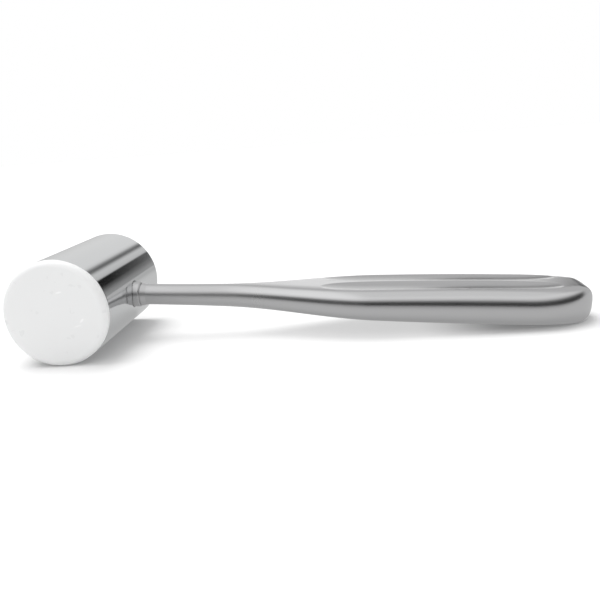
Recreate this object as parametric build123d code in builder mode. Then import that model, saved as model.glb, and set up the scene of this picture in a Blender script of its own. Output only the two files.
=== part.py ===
from build123d import *
import os
from math import asin, atan2, cos, degrees, pi, sin, sqrt

os.makedirs("parts", exist_ok=True)

# Driving dimensions in millimetres. The origin is the centre of the steel striking face,
# which looks along +Y. The head lies on its side, so the resting plane is one head radius
# below, and the handle leaves the middle of the head towards +X and comes down to it.

# Head
head_diameter = 40.0
head_length = 65.5
steel_face_edge = 0.8
socket_edge = 0.4

# Polymer striking pad
pad_rim = 3.0
pad_edge = 2.6
spigot_diameter = 22.0
spigot_length = 14.0
spigot_chamfer = 1.0
pad_clearance = 0.03

# Handle root, turned
tang_diameter = 8.0
tang_length = 16.0
tang_chamfer = 0.8
tang_clearance = 0.02
spot_face_depth = 0.8
spot_face_clearance = 0.15
bore_tip_clearance = 1.0
collar_diameter = 10.2
collar_height = 3.2
collar_edge = 0.4
groove_width = 0.5
groove_depth = 0.45
neck_cone_length = 2.0
neck_overlap = 0.05
shaft_diameter = 8.4

# Grip, forged and ground
widening_start = 54.0
widening_end = 118.0
thickening_start = 26.0
thickening_end = 165.0
grip_end = 201.0
grip_width = 38.0
grip_thickness = 14.3
grip_flatness = 8.0
plan_nose_length = 26.0
side_nose_length = 7.0

# Hollow flutes in both broad faces of the grip
flute_start = 96.0
flute_end = 188.0
flute_width = 14.5
flute_depth = 1.6
ridge_width = 0.5

head_radius = head_diameter / 2
shaft_radius = shaft_diameter / 2
collar_radius = collar_diameter / 2
tang_radius = tang_diameter / 2
half_width = grip_width / 2
half_thickness = grip_thickness / 2

# The handle comes down until the rounded nose of the grip meets the resting plane. In
# the side view the nose is a quarter ellipse, and the plane is its tangent.
nose_start = grip_end - side_nose_length
reach_squared = nose_start**2 - side_nose_length**2 + half_thickness**2
gap_squared = head_radius**2 - half_thickness**2
root_term = sqrt((head_radius * nose_start) ** 2 - reach_squared * gap_squared)
tilt = asin((head_radius * nose_start - root_term) / reach_squared)
handle_plane = Plane(
    origin=(0, -head_length / 2, 0),
    x_dir=(cos(tilt), 0, -sin(tilt)),
    z_dir=(0, -1, 0),
)
print(f"handle tilt {degrees(tilt):.2f} degrees")


def handle_point(distance, height=0.0):
    """A point in the handle's middle plane, by its distance from the head's axis."""
    return handle_plane.from_local_coords((distance, height, 0))


def section_plane(distance):
    """The plane square to the handle: its X is the width and its Y the thickness."""
    return Plane(
        origin=handle_point(distance),
        x_dir=(0, 1, 0),
        z_dir=handle_plane.x_dir,
    )


def nose_taper(distance, nose_length):
    """One along the grip, falling to nothing as a quarter ellipse over the nose."""
    into_nose = max(0.0, (distance - grip_end + nose_length) / nose_length)
    return sqrt(max(0.0, 1 - into_nose**2))


def smooth_growth(distance, start, end):
    """The share of a swelling that is reached at a distance, level at both its ends."""
    share = min(1.0, max(0.0, (distance - start) / (end - start)))
    return share * share * (3 - 2 * share)


def grip_section(distance):
    """Half width, half thickness and flatness of the grip's section at a distance."""
    widening = smooth_growth(distance, widening_start, widening_end)
    thickening = smooth_growth(distance, thickening_start, thickening_end)
    width = shaft_radius + (half_width - shaft_radius) * widening
    thickness = shaft_radius + (half_thickness - shaft_radius) * thickening
    flatness = 2 + (grip_flatness - 2) * widening
    width *= nose_taper(distance, plan_nose_length)
    thickness *= nose_taper(distance, side_nose_length)
    return width, thickness, flatness


def face_height(distance, across):
    """Height of the grip's broad face over the middle plane, at a place across it."""
    width, thickness, flatness = grip_section(distance)
    return thickness * sqrt(1 - min(1.0, across / width) ** flatness)


def section_points(width, thickness, flatness, count=48):
    """Points round a section, a circle at flatness 2 and a flat oval with round sides above."""
    points = []
    for step in range(count):
        angle = 2 * pi * step / count
        inside, outside = 0.9, 1.5
        for _ in range(40):
            reach = (inside + outside) / 2
            if abs(reach * cos(angle)) ** flatness + (reach * sin(angle)) ** 2 < 1:
                inside = reach
            else:
                outside = reach
        points.append((width * reach * cos(angle), thickness * reach * sin(angle)))
    return points


# The steel head: a turned cylinder with a socket for the pad's spigot in its near end,
# and a spot-faced blind bore for the handle in its side.
pad_seat = Plane.XZ.offset(head_length)
bore_radius = tang_radius + tang_clearance
spot_face = head_radius - spot_face_depth
with BuildPart() as head:
    with BuildSketch(Plane.XZ):
        Circle(head_radius)
    extrude(amount=head_length)
    fillet(head.faces().sort_by(Axis.Y)[-1].edges(), steel_face_edge)
    chamfer(head.faces().sort_by(Axis.Y)[0].edges(), socket_edge)
    with BuildSketch(pad_seat):
        Circle(spigot_diameter / 2 + pad_clearance)
    extrude(amount=-(spigot_length + pad_clearance), mode=Mode.SUBTRACT)
    with BuildSketch(section_plane(spot_face)):
        Circle(collar_radius + spot_face_clearance)
    extrude(amount=2 * spot_face_depth, mode=Mode.SUBTRACT)
    with BuildSketch(section_plane(spot_face)):
        Circle(bore_radius)
    extrude(amount=-(tang_length + bore_tip_clearance), mode=Mode.SUBTRACT)
head.part.label = "head"
export_step(head.part, "parts/head.step")

# The polymer pad: a rim as wide as the head with a rounded edge, and a spigot behind it.
with BuildPart() as striking_pad:
    with BuildSketch(pad_seat):
        Circle(head_radius)
    extrude(amount=pad_rim)
    fillet(striking_pad.faces().sort_by(Axis.Y)[0].edges(), pad_edge)
    with BuildSketch(pad_seat):
        Circle(spigot_diameter / 2)
    extrude(amount=-spigot_length)
    chamfer(striking_pad.faces().sort_by(Axis.Y)[-1].edges(), spigot_chamfer)
striking_pad.part.label = "striking_pad"
export_step(striking_pad.part, "parts/striking_pad.step")

# One hollow flute, as the wheel that grinds it: a long spindle whose outline sinks into
# the broad face of the grip and comes out of it at both ends. It leans outwards, so that
# both edges of the flute lie on the face.
flute_centre = (flute_start + flute_end) / 2
flute_inner = ridge_width / 2
flute_outer = flute_inner + flute_width
flute_middle = (flute_inner + flute_outer) / 2
inner_height = face_height(flute_centre, flute_inner)
outer_height = face_height(flute_centre, flute_outer)
chord_height = (inner_height + outer_height) / 2
face_middle = face_height(flute_centre, flute_middle)
lean = atan2(inner_height - outer_height, flute_width)
floor_rise = flute_depth - (face_middle - chord_height)
wheel_radius = ((flute_width / 2) ** 2 + floor_rise**2) / (2 * floor_rise)
wheel_height = wheel_radius - flute_depth
flute_plane = Plane(
    origin=section_plane(0).from_local_coords((flute_middle, face_middle, 0)),
    x_dir=handle_plane.x_dir,
    z_dir=handle_plane.y_dir * sin(lean) + handle_plane.z_dir * cos(lean),
)


def flute_floor(share):
    """A point of the flute's deepest line, at a share of the way along the flute."""
    distance = flute_start + (flute_end - flute_start) * share
    rise = face_height(distance, flute_middle) - face_middle
    return distance, rise - flute_depth * (1 - (2 * share - 1) ** 6)


with BuildPart() as flute_wheel:
    with BuildSketch(flute_plane):
        with BuildLine():
            floor_line = Spline(*[flute_floor(step / 12) for step in range(-1, 14)])
            Polyline(
                floor_line @ 1,
                ((floor_line @ 1).X, wheel_height),
                ((floor_line @ 0).X, wheel_height),
                floor_line @ 0,
            )
        make_face()
    wheel_centre = flute_plane.from_local_coords((0, wheel_height, 0))
    revolve(axis=Axis(wheel_centre, flute_plane.x_dir))
middle_plane = Plane(
    origin=handle_plane.origin, x_dir=handle_plane.x_dir, z_dir=handle_plane.y_dir
)
upper_wheels = [flute_wheel.part, mirror(flute_wheel.part, about=handle_plane)]
lower_wheels = [mirror(wheel, about=middle_plane) for wheel in upper_wheels]

# The handle: tang, collar, groove and neck are turned. The shaft starts inside the collar
# and grows into the flat oval grip through sections square to its axis, which crowd
# towards the tip, where the nose closes fastest.
collar_top = spot_face + collar_height
groove_end = collar_top + groove_width
neck_end = groove_end + neck_cone_length
plan_nose_start = grip_end - plan_nose_length
root_stations = [(spot_face + collar_top) / 2, collar_top]
shaft_stations = [
    neck_end + (plan_nose_start - neck_end) * step / 16 for step in range(16)
]
nose_stations = [
    grip_end - plan_nose_length * (1 - step / 12) ** 2 for step in range(12)
]
with BuildPart() as handle:
    with BuildSketch(handle_plane):
        with BuildLine():
            Polyline(
                (spot_face - tang_length, 0),
                (spot_face - tang_length, tang_radius - tang_chamfer),
                (spot_face - tang_length + tang_chamfer, tang_radius),
                (spot_face, tang_radius),
                (spot_face, collar_radius),
                (collar_top - collar_edge, collar_radius),
                (collar_top, collar_radius - collar_edge),
                (collar_top, collar_radius - collar_edge - groove_depth),
                (groove_end, collar_radius - collar_edge - groove_depth),
                (groove_end, collar_radius - collar_edge),
                (neck_end, shaft_radius - neck_overlap),
                (neck_end, 0),
                close=True,
            )
        make_face()
    revolve(axis=Axis(handle_plane.origin, handle_plane.x_dir))
    for distance in root_stations + shaft_stations + nose_stations:
        with BuildSketch(section_plane(distance)):
            with BuildLine():
                Spline(*section_points(*grip_section(distance)), periodic=True)
            make_face()
    loft()
    for wheel in upper_wheels + lower_wheels:
        add(wheel, mode=Mode.SUBTRACT)
handle.part.label = "handle"
export_step(handle.part, "parts/handle.step")
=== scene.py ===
from math import asin, atan2, cos, pi, radians, sin, sqrt

import bmesh
import bpy
from mathutils import Matrix, Vector


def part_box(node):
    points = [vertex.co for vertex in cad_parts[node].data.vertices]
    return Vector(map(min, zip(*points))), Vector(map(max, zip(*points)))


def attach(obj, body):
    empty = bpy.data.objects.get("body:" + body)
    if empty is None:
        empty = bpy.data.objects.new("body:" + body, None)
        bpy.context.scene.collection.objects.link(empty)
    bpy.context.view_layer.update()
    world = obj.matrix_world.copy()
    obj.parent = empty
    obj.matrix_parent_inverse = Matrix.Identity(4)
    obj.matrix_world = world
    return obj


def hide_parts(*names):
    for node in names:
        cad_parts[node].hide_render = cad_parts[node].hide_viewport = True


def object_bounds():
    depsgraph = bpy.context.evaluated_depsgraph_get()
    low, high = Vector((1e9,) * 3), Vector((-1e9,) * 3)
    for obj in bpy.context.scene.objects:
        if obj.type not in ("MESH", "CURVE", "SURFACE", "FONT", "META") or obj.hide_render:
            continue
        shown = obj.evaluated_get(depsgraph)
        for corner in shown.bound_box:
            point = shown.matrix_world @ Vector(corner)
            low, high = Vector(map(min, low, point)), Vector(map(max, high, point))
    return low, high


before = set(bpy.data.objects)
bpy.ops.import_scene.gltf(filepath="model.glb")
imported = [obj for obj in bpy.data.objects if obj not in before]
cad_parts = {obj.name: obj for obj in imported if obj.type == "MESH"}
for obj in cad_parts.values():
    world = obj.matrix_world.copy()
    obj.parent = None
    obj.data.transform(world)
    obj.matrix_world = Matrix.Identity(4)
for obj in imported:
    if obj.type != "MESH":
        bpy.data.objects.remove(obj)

cad_low, cad_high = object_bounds()

# Camera: it stands low beside the middle of the handle, on the polymer pad's side, and
# looks a little down, turned towards the head and rolled as in the photograph.
camera_place = Vector((0.1158, -0.3215, 0.0601))
camera_yaw = radians(-5.70)
camera_pitch = radians(13.115)
camera_roll = radians(-4.30)
camera_data = bpy.data.cameras.new("camera")
camera_data.lens = 44.4
camera_data.clip_start = 0.01
camera = bpy.data.objects.new("camera", camera_data)
bpy.context.scene.collection.objects.link(camera)
level = Vector((cos(camera_yaw), -sin(camera_yaw), 0))
onward = Vector((sin(camera_yaw), cos(camera_yaw), 0))
looking = cos(camera_pitch) * onward + Vector((0, 0, -sin(camera_pitch)))
upward = level.cross(looking)
right = cos(camera_roll) * level + sin(camera_roll) * upward
up = cos(camera_roll) * upward - sin(camera_roll) * level
camera_turn = Matrix((right, up, -looking)).transposed().to_4x4()
camera.matrix_world = Matrix.Translation(camera_place) @ camera_turn
bpy.context.scene.camera = camera
bpy.context.scene.view_settings.view_transform = "Standard"


# Floor: one wide sheet of matt white studio paper. The camera sees it white, with the
# soft shadow that the mallet drops on it. The metal sees it as mid grey, darker in front
# of the handle and far behind it.
class Value:
    """A socket's value in a shader, whose arithmetic adds Math nodes."""

    def __init__(self, tree, socket):
        self.tree, self.socket = tree, socket

    def math(self, operation, *inputs, clamp=False):
        node = self.tree.nodes.new("ShaderNodeMath")
        node.operation = operation
        node.use_clamp = clamp
        for place, value in enumerate(inputs):
            if isinstance(value, Value):
                self.tree.links.new(value.socket, node.inputs[place])
            else:
                node.inputs[place].default_value = value
        return Value(self.tree, node.outputs[0])

    def __add__(self, other):
        return self.math("ADD", self, other)

    __radd__ = __add__

    def __mul__(self, other):
        return self.math("MULTIPLY", self, other)

    __rmul__ = __mul__

    def __sub__(self, other):
        return self.math("SUBTRACT", self, other)

    def __rsub__(self, other):
        return self.math("SUBTRACT", other, self)

    def __truediv__(self, other):
        return self.math("DIVIDE", self, other)

    def root(self):
        return self.math("SQRT", self)

    def at_least(self, other):
        return self.math("MAXIMUM", self, other)

    def above(self, start, end):
        """Nothing at start, one at end, and a smooth rise between them."""
        share = self.math("DIVIDE", self - start, end - start, clamp=True)
        return share * share * (3 - 2 * share)


class Shader:
    """The nodes of one material or of the world."""

    def __init__(self, tree):
        self.tree = tree
        tree.nodes.clear()

    def node(self, kind, output=0, settings=None, sockets=None):
        """Adds a node, and gives one of its outputs, or a list of them."""
        node = self.tree.nodes.new(kind)
        for name, value in (settings or {}).items():
            if name == "stops":
                self.set_stops(node.color_ramp.elements, value)
            else:
                setattr(node, name, value)
        for name, value in (sockets or {}).items():
            if isinstance(value, Value):
                self.tree.links.new(value.socket, node.inputs[name])
            else:
                node.inputs[name].default_value = value
        if isinstance(output, tuple):
            return [Value(self.tree, node.outputs[index]) for index in output]
        return Value(self.tree, node.outputs[output] if node.outputs else None)

    def set_stops(self, marks, stops):
        """Turns a ramp into greys at stops of (place, level), straight between them."""
        while len(marks) < len(stops):
            marks.new(0.5)
        for mark, (place, grey) in zip(marks, stops):
            mark.position = place
            mark.color = (grey, grey, grey, 1)

    def axes(self, vector):
        """The X, Y and Z of a vector, each as a value."""
        return self.node("ShaderNodeSeparateXYZ", (0, 1, 2), sockets={0: vector})

    def blend(self, share, colour, other):
        """The colour where the share is nothing, and the other where it is one."""
        colours = {0: share, 6: colour, 7: other}
        return self.node("ShaderNodeMix", 2, {"data_type": "RGBA"}, colours)


def new_material(name):
    material = bpy.data.materials.new(name)
    material.use_nodes = True
    return material, Shader(material.node_tree)


def new_piece(name, mesh, material):
    """Turns a finished bmesh into an object of one material, at the origin."""
    data = bpy.data.meshes.new(name)
    mesh.to_mesh(data)
    mesh.free()
    data.materials.append(material)
    piece = bpy.data.objects.new(name, data)
    bpy.context.scene.collection.objects.link(piece)
    return piece


paper, shader = new_material("studio_paper")
place = shader.node("ShaderNodeTexCoord", "Object")
along, forward = shader.axes(place)[:2]
mirrored = shader.node("ShaderNodeLightPath", "Is Glossy Ray")
seen = shader.node("ShaderNodeLightPath", "Is Camera Ray")
grip_front = -0.033
in_front = (grip_front - forward).at_least(0.0)
in_metal = 0.56 - 0.16 * in_front.above(0.03, 0.13) - 0.1 * in_front.above(0.15, 0.45)
in_metal = in_metal - 0.12 * forward.above(0.1, 0.35)
paper_white = 0.88
paper_glow = 1.15
matt = shader.node(
    "ShaderNodeBsdfDiffuse",
    sockets={"Color": paper_white * (1 - mirrored) + in_metal * mirrored},
)
glow = shader.node(
    "ShaderNodeEmission",
    sockets={"Color": paper_glow * (1 - mirrored) + in_metal * mirrored},
)
# Painted light: the paper glows more under the handle, which lightens the handle's shadow
# there.
painted_light_under_handle = along.above(0.012, 0.042) * (1 - along.above(0.13, 0.17))
glow_seen = 0.05 + 0.4 * painted_light_under_handle
glow_mirrored = 0.7
surface = shader.node(
    "ShaderNodeMixShader",
    sockets={0: glow_seen * seen + glow_mirrored * mirrored, 1: matt, 2: glow},
)
shader.node("ShaderNodeOutputMaterial", sockets={"Surface": surface})
sheet = bmesh.new()
bmesh.ops.create_grid(sheet, x_segments=1, y_segments=1, size=3.0)
bmesh.ops.translate(sheet, vec=(0, 0, cad_low[2]), verts=sheet.verts)
floor = new_piece("floor", sheet, paper)

# Studio: white to the camera. The mallet stands among long strips of light and dark
# panels beside a white wall ahead, with a dark gap level with the camera behind it and a
# light ceiling. The angle is taken about the head's axis, from straight up towards +X.
world = bpy.data.worlds.new("studio")
bpy.context.scene.world = world
world.use_nodes = True
shader = Shader(world.node_tree)
direction = shader.node("ShaderNodeTexCoord", "Generated")
side, forward, height = shader.axes(direction)
angle = side.math("ARCTAN2", side, height) * (180 / pi)
strip_levels = [
    (-180, 0.5), (-95, 0.62), (-80, 0.66), (-60, 0.73), (-45, 0.76), (6, 0.76), (13, 0.68),
    (19, 0.30), (23, 0.14), (27, 0.20), (32, 0.52), (36, 0.62), (44, 0.58), (48, 0.52),
    (51, 0.0), (66, 0.01), (74, 0.12), (82, 0.26), (90, 0.32), (180, 0.4),
]
strip_stops = [((degree + 180) / 360, grey) for degree, grey in strip_levels]
strips = shader.node(
    "ShaderNodeValToRGB", settings={"stops": strip_stops}, sockets={0: (angle + 180) / 360}
)

# Near the line of the head's axis the dark strip is a little lighter, and then the wall
# begins.
off_axis = (side * side + height * height).root()
far_share = 1 - off_axis.above(0.33, 0.394)
strips = strips + 0.08 * far_share * angle.above(49, 51) * (1 - angle.above(68, 80))
wall_share = 1 - off_axis.above(0.29, 0.322)
outer_share = off_axis.above(0.45, 0.65)
front = 0.98 * wall_share + strips * (1 - wall_share)
front = front * (1 - outer_share) + 0.58 * outer_share
back_stops = [
    (0.0, 0.30), (0.455, 0.10), (0.48, 0.03), (0.61, 0.03), (0.69, 0.22), (0.76, 0.66),
    (0.85, 0.88), (1.0, 0.90),
]
back = shader.node(
    "ShaderNodeValToRGB", settings={"stops": back_stops}, sockets={0: (height + 1) / 2}
)
head_side = 1 - side.above(-0.26, -0.08)
back = (back + 0.2 * head_side * back).at_least(0.1 * head_side)
front_share = forward.above(-0.1, 0.3)
ceiling_share = height.above(0.75, 0.95)
panels = front * front_share + back * (1 - front_share)
panels = panels * (1 - ceiling_share) + (0.8 + 0.25 * head_side) * ceiling_share
seen = shader.node("ShaderNodeLightPath", "Is Camera Ray")
surface = shader.node(
    "ShaderNodeBackground", sockets={"Color": panels * (1 - seen) + seen}
)
shader.node("ShaderNodeOutputWorld", sockets={"Surface": surface})


# Lamps: a wide soft light from above, on the side away from the handle and a little
# behind, drops the soft shadows, and a weak fill from the camera's side lifts the pad.
# Neither shows in the metal, which sees the studio's own panels.
def soft_light(name, strength, spread, source):
    data = bpy.data.lights.new(name, "SUN")
    data.energy = strength
    data.angle = radians(spread)
    lamp = bpy.data.objects.new(name, data)
    bpy.context.scene.collection.objects.link(lamp)
    lamp.matrix_world = Vector(source).to_track_quat("Z", "Y").to_matrix().to_4x4()
    lamp.visible_glossy = False


soft_light("key", strength=2.0, spread=50, source=(-0.35, 0.25, 1.0))
soft_light("fill", strength=0.5, spread=60, source=(0.1, -1.0, 0.5))

# Head: a cylinder turned from stainless steel bar and mirror polished all over, with its
# far end as the steel striking face. A socket in its near end takes the pad's spigot, and
# a spot-faced blind bore in its side takes the handle.
millimetre = 0.001
turned_steps = 192


def turned(outline, axis, centre, steps):
    """A solid of revolution from an outline of (radius, place along the axis)."""
    solid = bmesh.new()
    side_way = axis.orthogonal().normalized()
    points = [
        solid.verts.new(centre + (along * axis + radius * side_way) * millimetre)
        for radius, along in outline
    ]
    edges = [solid.edges.new(pair) for pair in zip(points, points[1:])]
    bmesh.ops.spin(
        solid,
        geom=points + edges,
        cent=centre,
        axis=axis,
        angle=2 * pi,
        steps=steps,
        use_merge=True,
    )
    bmesh.ops.remove_doubles(solid, verts=solid.verts, dist=1e-7)
    bmesh.ops.recalc_face_normals(solid, faces=solid.faces)
    return solid


def rounded(radius_centre, along_centre, radius, start, end, steps):
    """Points of an arc in an outline, between two angles in degrees."""
    angles = [radians(start + (end - start) * step / steps) for step in range(steps + 1)]
    return [
        (radius_centre + radius * cos(angle), along_centre + radius * sin(angle))
        for angle in angles
    ]


head_low, head_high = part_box("head")
head_radius = (head_high[0] - head_low[0]) / 2 / millimetre
head_length = (head_high[1] - head_low[1]) / millimetre
steel_face_edge = 0.8
socket_edge = 0.4
socket_radius = 11.03
socket_depth = 14.03
head_axis = Vector((0, 1, 0))
steel_face_centre = Vector((0, 0, 0))
barrel_rings = 24
barrel_length = head_length - steel_face_edge - socket_edge
barrel = [
    (head_radius, -steel_face_edge - barrel_length * ring / barrel_rings)
    for ring in range(1, barrel_rings)
]
head_mesh = turned(
    [(0, 0)]
    + rounded(head_radius - steel_face_edge, -steel_face_edge, steel_face_edge, 90, 0, 6)
    + barrel
    + [
        (head_radius, socket_edge - head_length),
        (head_radius - socket_edge, -head_length),
        (socket_radius, -head_length),
        (socket_radius, socket_depth - head_length),
        (0, socket_depth - head_length),
    ],
    head_axis,
    steel_face_centre,
    turned_steps,
)
polished, shader = new_material("polished_steel")
place = shader.node("ShaderNodeTexCoord", "Object")
smudges = shader.node(
    "ShaderNodeTexNoise", sockets={"Vector": place, "Scale": 90.0, "Detail": 4.0}
)
lathe_place = shader.node(
    "ShaderNodeMapping", sockets={"Vector": place, "Scale": (40, 9000, 40)}
)
lathe_lines = shader.node(
    "ShaderNodeTexNoise", sockets={"Vector": lathe_place, "Scale": 1.0, "Detail": 3.0}
)
relief = shader.node(
    "ShaderNodeBump", sockets={"Strength": 0.012, "Distance": 0.0001, "Height": lathe_lines}
)
# Painted shade: the base colour is nearly black in the narrow gap between the collar and the
# wall of the spot face.
side, forward, height = shader.axes(place)
handle_fall = 0.066
from_seat = forward + head_length / 2 * millimetre
from_axis = height + handle_fall * side
from_collar = (from_seat * from_seat + from_axis * from_axis).root()
painted_gap_shade = (1 - from_collar.above(0.0053, 0.0056)) * side.above(0.010, 0.012)
steel_colour = (0.77, 0.78, 0.785, 1)
gap_shade_colour = (0.05, 0.05, 0.05, 1)
tone = shader.blend(painted_gap_shade, steel_colour, gap_shade_colour)
surface = shader.node(
    "ShaderNodeBsdfPrincipled",
    sockets={
        "Base Color": tone,
        "Metallic": 1.0,
        "Roughness": 0.05 + 0.05 * smudges,
        "Normal": relief,
    },
)
shader.node("ShaderNodeOutputMaterial", sockets={"Surface": surface})
head = new_piece("head_polished", head_mesh, polished)

# The handle's axis leaves the middle of the head and comes down to the floor, where the
# rounded nose of the grip touches it. Bore and spot face are cut along that axis.
grip_end = 201.0
grip_thickness = 14.3
side_nose_length = 7.0
half_thickness = grip_thickness / 2
nose_start = grip_end - side_nose_length
reach_squared = nose_start**2 - side_nose_length**2 + half_thickness**2
gap_squared = head_radius**2 - half_thickness**2
root_term = sqrt((head_radius * nose_start) ** 2 - reach_squared * gap_squared)
tilt = asin((head_radius * nose_start - root_term) / reach_squared)
handle_root = Vector((0, -head_length / 2 * millimetre, 0))
handle_along = Vector((cos(tilt), 0, -sin(tilt)))
handle_up = Vector((sin(tilt), 0, cos(tilt)))
tang_length = 16.0
tang_radius = 4.0
tang_clearance = 0.02
bore_tip_clearance = 1.0
collar_radius = 5.1
spot_face_clearance = 0.15
spot_face_depth = 0.8
cutter_overrun = 2.0
bore_radius = tang_radius + tang_clearance
spot_face_radius = collar_radius + spot_face_clearance
spot_face = head_radius - spot_face_depth
bore_end = spot_face - tang_length - bore_tip_clearance
cutter_end = head_radius + cutter_overrun
bore_mesh = turned(
    [
        (0, bore_end),
        (bore_radius, bore_end),
        (bore_radius, spot_face),
        (spot_face_radius, spot_face),
        (spot_face_radius, cutter_end),
        (0, cutter_end),
    ],
    handle_along,
    handle_root,
    turned_steps // 2,
)
bore = new_piece("bore_cutter", bore_mesh, polished)
cut = head.modifiers.new("bore", "BOOLEAN")
cut.operation = "DIFFERENCE"
cut.solver = "EXACT"
cut.object = bore
graph = bpy.context.evaluated_depsgraph_get()
bored = bpy.data.meshes.new_from_object(head.evaluated_get(graph))
head.modifiers.clear()
head.data = bored
bpy.data.objects.remove(bore)

# The cut leaves long thin faces round the bore. The barrel's normals are set straight
# out from its axis, so they don't show, and all other faces are shaded flat.
barrel_radius = head_radius * millimetre
normals = []
for polygon in bored.polygons:
    outward = Vector((polygon.center.x, 0, polygon.center.z))
    faces_outward = outward.normalized().dot(polygon.normal) > 0.999
    on_barrel = faces_outward and outward.length > 0.9 * barrel_radius
    for corner in polygon.loop_indices:
        spot = bored.vertices[bored.loops[corner].vertex_index].co
        if on_barrel:
            normals.append(Vector((spot.x, 0, spot.z)).normalized())
        else:
            normals.append(polygon.normal.copy())
    polygon.use_smooth = True
bored.normals_split_custom_set(normals)
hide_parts("head")
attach(head, "root")

# Striking pad: turned from white polymer bar, as wide as the head, with a rounded edge.
# Its spigot sits in the head's socket, where a thread holds it. Three small ovals on its
# face are whiter. A ring of the mesh keeps the middle of the face level.
pad_rim = 3.0
pad_edge = 2.6
spigot_radius = 11.0
spigot_length = 14.0
spigot_chamfer = 1.0
pad_axis = Vector((0, -1, 0))
spigot_end = head_length - spigot_length
pad_face = head_length + pad_rim
flat_radius = 0.6 * head_radius
pad_mesh = turned(
    [
        (0, spigot_end),
        (spigot_radius - spigot_chamfer, spigot_end),
        (spigot_radius, spigot_end + spigot_chamfer),
        (spigot_radius, head_length),
        (head_radius, head_length),
    ]
    + rounded(head_radius - pad_edge, pad_face - pad_edge, pad_edge, 0, 90, 16)
    + [(flat_radius, pad_face), (0, pad_face)],
    pad_axis,
    steel_face_centre,
    turned_steps,
)
pad_corner = radians(30)
for face in pad_mesh.faces:
    face.smooth = True
for edge in pad_mesh.edges:
    edge.smooth = edge.calc_face_angle(0.0) <= pad_corner
polymer, shader = new_material("white_polymer")
place = shader.node("ShaderNodeTexCoord", "Object")
mottle = shader.node(
    "ShaderNodeTexNoise", sockets={"Vector": place, "Scale": 260.0, "Detail": 3.0}
)
relief = shader.node(
    "ShaderNodeBump", sockets={"Strength": 0.02, "Distance": 0.0001, "Height": mottle}
)
side, forward, height = shader.axes(place)


def whiter_oval(across, up, lean, length, width):
    """The share of a small whiter oval on the striking face, in metres and degrees."""
    beside, over = side - across, height - up
    along_mark = beside * cos(radians(lean)) + over * sin(radians(lean))
    across_mark = over * cos(radians(lean)) - beside * sin(radians(lean))
    along_share, across_share = along_mark / length, across_mark / width
    from_centre = (along_share * along_share + across_share * across_share).root()
    return 1 - from_centre.above(0.3, 1.0)


upper_mark = whiter_oval(across=0.0031, up=0.0083, lean=10, length=0.0016, width=0.0005)
side_mark = whiter_oval(across=0.0103, up=-0.0026, lean=45, length=0.0014, width=0.0006)
faint_mark = whiter_oval(across=0.0085, up=-0.0046, lean=12, length=0.0022, width=0.0004)
marks = upper_mark + side_mark + 0.5 * faint_mark
mark_depth = 0.1
on_face = 1 - forward.above(-pad_face * millimetre, (mark_depth - pad_face) * millimetre)
polymer_colour = (0.88, 0.885, 0.885, 1)
# The three small ovals on the face take this whiter colour.
whiter_colour = (1.0, 1.0, 1.0, 1)
tone = shader.blend(marks * on_face, polymer_colour, whiter_colour)
surface = shader.node(
    "ShaderNodeBsdfPrincipled",
    sockets={
        "Base Color": tone,
        "Roughness": 0.24 + 0.1 * mottle,
        "Normal": relief,
    },
)
shader.node("ShaderNodeOutputMaterial", sockets={"Surface": surface})
pad = new_piece("pad_polymer", pad_mesh, polymer)
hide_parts("striking_pad")
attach(pad, "root")

# Handle: one stainless forging. Tang, collar, groove and neck are turned, and the round
# shaft swells into a flat oval grip, ground all over and finished satin, with two hollow
# flutes ground side by side into each broad face.
tang_chamfer = 0.8
collar_height = 3.2
collar_edge = 0.4
groove_width = 0.5
groove_depth = 0.45
neck_cone_length = 2.0
shaft_radius = 4.2
widening_start = 54.0
widening_end = 118.0
thickening_start = 26.0
thickening_end = 165.0
half_width = 19.0
grip_flatness = 8.0
plan_nose_length = 26.0
flute_start = 96.0
flute_end = 188.0
flute_width = 14.5
flute_depth = 1.6
ridge_width = 0.5
collar_top = spot_face + collar_height
groove_end = collar_top + groove_width
neck_end = groove_end + neck_cone_length
halvings = 30


def swelling(distance, start, end):
    """The share of a swelling that is reached at a distance, level at both its ends."""
    share = min(1.0, max(0.0, (distance - start) / (end - start)))
    return share * share * (3 - 2 * share)


def nose(distance, length):
    """One along the grip, falling to nothing as a quarter ellipse over the nose."""
    return sqrt(max(0.0, 1 - max(0.0, (distance - grip_end + length) / length) ** 2))


def grip_section(distance):
    """Half width, half thickness and flatness of the grip's section at a distance."""
    widening = swelling(distance, widening_start, widening_end)
    thickening = swelling(distance, thickening_start, thickening_end)
    width = shaft_radius + (half_width - shaft_radius) * widening
    thickness = shaft_radius + (half_thickness - shaft_radius) * thickening
    flatness = 2 + (grip_flatness - 2) * widening
    width *= nose(distance, plan_nose_length)
    thickness *= nose(distance, side_nose_length)
    return width, thickness, flatness


def face_height(distance, across):
    """Height of the grip's broad face over the middle plane, at a place across it."""
    width, thickness, flatness = grip_section(distance)
    return thickness * sqrt(1 - min(1.0, across / width) ** flatness)


# A flute is what a wide wheel grinds that leans outwards over its middle and follows the
# face, less deep towards both ends.
flute_inner = ridge_width / 2
flute_outer = flute_inner + flute_width
flute_middle = (flute_inner + flute_outer) / 2
flute_centre = (flute_start + flute_end) / 2
inner_height = face_height(flute_centre, flute_inner)
outer_height = face_height(flute_centre, flute_outer)
middle_height = face_height(flute_centre, flute_middle)
lean = atan2(inner_height - outer_height, flute_width)
floor_rise = flute_depth - (middle_height - (inner_height + outer_height) / 2)
wheel_radius = ((flute_width / 2) ** 2 + floor_rise**2) / (2 * floor_rise)
wheel_height = wheel_radius - flute_depth


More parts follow.
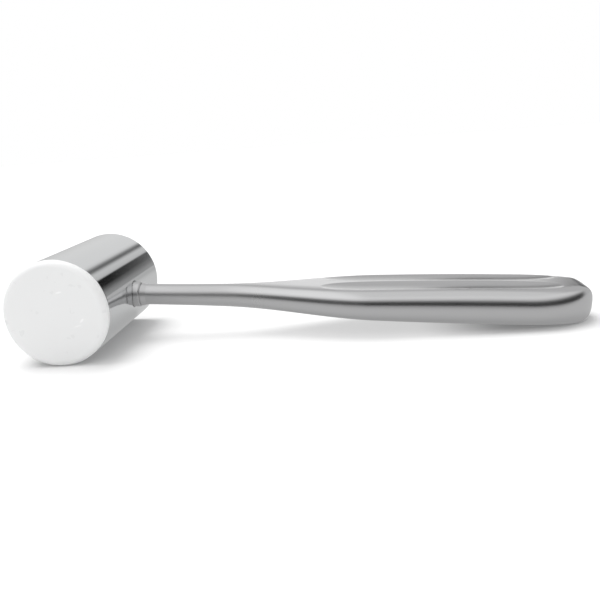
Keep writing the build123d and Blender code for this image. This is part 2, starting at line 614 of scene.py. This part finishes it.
def flute_floor(distance, across):
    """Height that the grinding wheel leaves, whose centre stands over the flute."""
    share = (distance - flute_start) / (flute_end - flute_start)
    rise = face_height(distance, flute_middle) - middle_height
    depth = flute_depth * (1 - (2 * share - 1) ** 6)
    radius = wheel_height - (rise - depth)
    beside = across - flute_middle - wheel_height * sin(lean)
    return middle_height + wheel_height * cos(lean) - sqrt(max(0.0, radius**2 - beside**2))


def flute_edge(distance, limit):
    """Where the flute meets the face, between its middle and a limit across the grip."""
    inside, outside = flute_middle, limit
    for _ in range(halvings):
        middle = (inside + outside) / 2
        if flute_floor(distance, middle) < face_height(distance, middle):
            inside = middle
        else:
            outside = middle
    return inside


tip_width = 0.5
tip_spread = 0.25
tip_reach = 12.0
just_inside = 0.999


def flute_edges(distance):
    """Both edges of the flute, which close to a narrow tip at its ends and spread past them."""
    nearest = min(max(distance, flute_start), flute_end)
    width = grip_section(distance)[0]
    if nearest == distance:
        inner = flute_edge(distance, 0.0)
        outer = flute_edge(distance, just_inside * width)
    else:
        inner = outer = flute_middle / grip_section(nearest)[0] * width
    gap = tip_width + tip_spread * min(tip_reach, abs(distance - nearest))
    gap = min(gap, 0.5 * width)
    if outer - inner < gap:
        centre = (inner + outer) / 2
        inner, outer = centre - gap / 2, centre + gap / 2
    return inner, outer


# The mesh has rings of vertices square to the handle. They lie closer together where the
# flutes end and at the nose, and each quarter of a ring has fixed columns for the round
# side, the flute and half of the ridge, so that the flute's edges are lines of the mesh.
side_columns = 18
flute_columns = 12
ridge_columns = 3
quarter = side_columns + flute_columns + ridge_columns
groove_radius = collar_radius - collar_edge - groove_depth
turned_rows = [
    (spot_face - tang_length, tang_radius - tang_chamfer),
    (spot_face - tang_length + tang_chamfer, tang_radius),
    (spot_face, tang_radius),
    (spot_face, collar_radius),
    (collar_top - collar_edge, collar_radius),
    (collar_top, collar_radius - collar_edge),
    (collar_top, groove_radius),
    (groove_end, groove_radius),
    (groove_end, collar_radius - collar_edge),
    (neck_end, shaft_radius),
]


def spaced(start, end, step):
    count = round((end - start) / step)
    return [start + (end - start) * place / count for place in range(count)]


wide_step = 2.0
fine_step = 0.5
past_tip = 4.0
inside_tip = 8.0
nose_rows = 40
mesh_nose = grip_end - flute_end - past_tip
grip_rows = (
    spaced(neck_end, flute_start - past_tip, wide_step)[1:]
    + spaced(flute_start - past_tip, flute_start + inside_tip, fine_step)
    + spaced(flute_start + inside_tip, flute_end - inside_tip, wide_step)
    + spaced(flute_end - inside_tip, flute_end + past_tip, fine_step)
    + [grip_end - mesh_nose * (1 - row / nose_rows) ** 2 for row in range(nose_rows)]
)
rows = turned_rows + [(distance, None) for distance in grip_rows]


def side_point(slope, flatness):
    """The unit section's point in a direction, found between its inside and outside."""
    inside, outside = 0.9, 1.5
    for _ in range(halvings):
        reach = (inside + outside) / 2
        if (reach * cos(slope)) ** flatness + (reach * sin(slope)) ** 2 < 1:
            inside = reach
        else:
            outside = reach
    return reach * cos(slope), reach * sin(slope)


def quarter_section(distance, radius):
    """Points (across, up) of a quarter of a section, from its side to its middle."""
    inner, outer = flute_edges(distance)
    width, thickness, flatness = grip_section(distance)
    if radius is not None:
        inner, outer = inner / width * radius, outer / width * radius
        width, thickness, flatness = radius, radius, 2
    share = outer / width
    last_slope = atan2(sqrt(1 - share**flatness), share)
    points = []
    for column in range(side_columns):
        across, up = side_point(last_slope * column / side_columns, flatness)
        points.append((width * across, thickness * up))
    for column in range(flute_columns + ridge_columns + 1):
        if column < flute_columns:
            across = outer + (inner - outer) * column / flute_columns
        else:
            across = inner * (1 - (column - flute_columns) / ridge_columns)
        up = thickness * sqrt(1 - (across / width) ** flatness)
        if radius is None and flute_start <= distance <= flute_end:
            up = min(up, flute_floor(distance, across))
        points.append((across, up))
    return points


# A tube of unit rings is drawn out, and then each vertex moves to its place in the
# section of its row.
sections = [quarter_section(distance, radius) for distance, radius in rows]
columns = 4 * quarter
handle_mesh = bmesh.new()
bmesh.ops.create_circle(handle_mesh, cap_ends=True, segments=columns, radius=1.0)
ring = handle_mesh.edges[:]
for row in rows[1:]:
    grown = bmesh.ops.extrude_edge_only(handle_mesh, edges=ring)["geom"]
    ring = [part for part in grown if isinstance(part, bmesh.types.BMEdge)]
    tips = [part for part in grown if isinstance(part, bmesh.types.BMVert)]
    bmesh.ops.translate(handle_mesh, vec=(0, 0, 1), verts=tips)
bmesh.ops.contextual_create(handle_mesh, geom=ring)
spots = {}
for vert in handle_mesh.verts:
    row = round(vert.co.z)
    column = round(atan2(vert.co.y, vert.co.x) / (2 * pi) * columns) % columns
    sector, place = divmod(column, quarter)
    if sector % 2:
        place = quarter - place
    across, up = sections[row][place]
    if sector in (1, 2):
        across = -across
    if sector in (2, 3):
        up = -up
    spots[vert] = (row, place)
    vert.co = handle_root + millimetre * (
        rows[row][0] * handle_along + across * Vector((0, 1, 0)) + up * handle_up
    )
bmesh.ops.recalc_face_normals(handle_mesh, faces=handle_mesh.faces)
shoulder_bend = radians(12)
flute_edge_bend = radians(6)
flute_edge_columns = (side_columns, side_columns + flute_columns)
for face in handle_mesh.faces:
    face.smooth = True
for edge in handle_mesh.edges:
    (first_row, first_column), (last_row, last_column) = (spots[end] for end in edge.verts)
    bend = edge.calc_face_angle(0.0)
    if first_row == last_row:
        edge.smooth = first_row >= len(turned_rows) or bend < shoulder_bend
    elif first_column == last_column and first_column in flute_edge_columns:
        edge.smooth = bend <= flute_edge_bend
satin, shader = new_material("satin_steel")
place = shader.node("ShaderNodeTexCoord", "Object")
grain_place = shader.node(
    "ShaderNodeMapping", sockets={"Vector": place, "Scale": (60, 3000, 3000)}
)
grain = shader.node(
    "ShaderNodeTexNoise", sockets={"Vector": grain_place, "Scale": 1.0, "Detail": 4.0}
)
cloud = shader.node(
    "ShaderNodeTexNoise", sockets={"Vector": place, "Scale": 60.0, "Detail": 3.0}
)
relief = shader.node(
    "ShaderNodeBump", sockets={"Strength": 0.06, "Distance": 0.0001, "Height": grain}
)
along = shader.axes(place)[0]
on_grip = along.above(0.045, 0.09)
surface = shader.node(
    "ShaderNodeBsdfPrincipled",
    sockets={
        "Base Color": (0.66, 0.66, 0.665, 1),
        "Metallic": 1.0,
        "Roughness": 0.33 - 0.17 * on_grip + 0.06 * grain + 0.05 * cloud,
        "Normal": relief,
    },
)
shader.node("ShaderNodeOutputMaterial", sockets={"Surface": surface})
handle = new_piece("handle_satin", handle_mesh, satin)
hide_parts("handle")
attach(handle, "root")
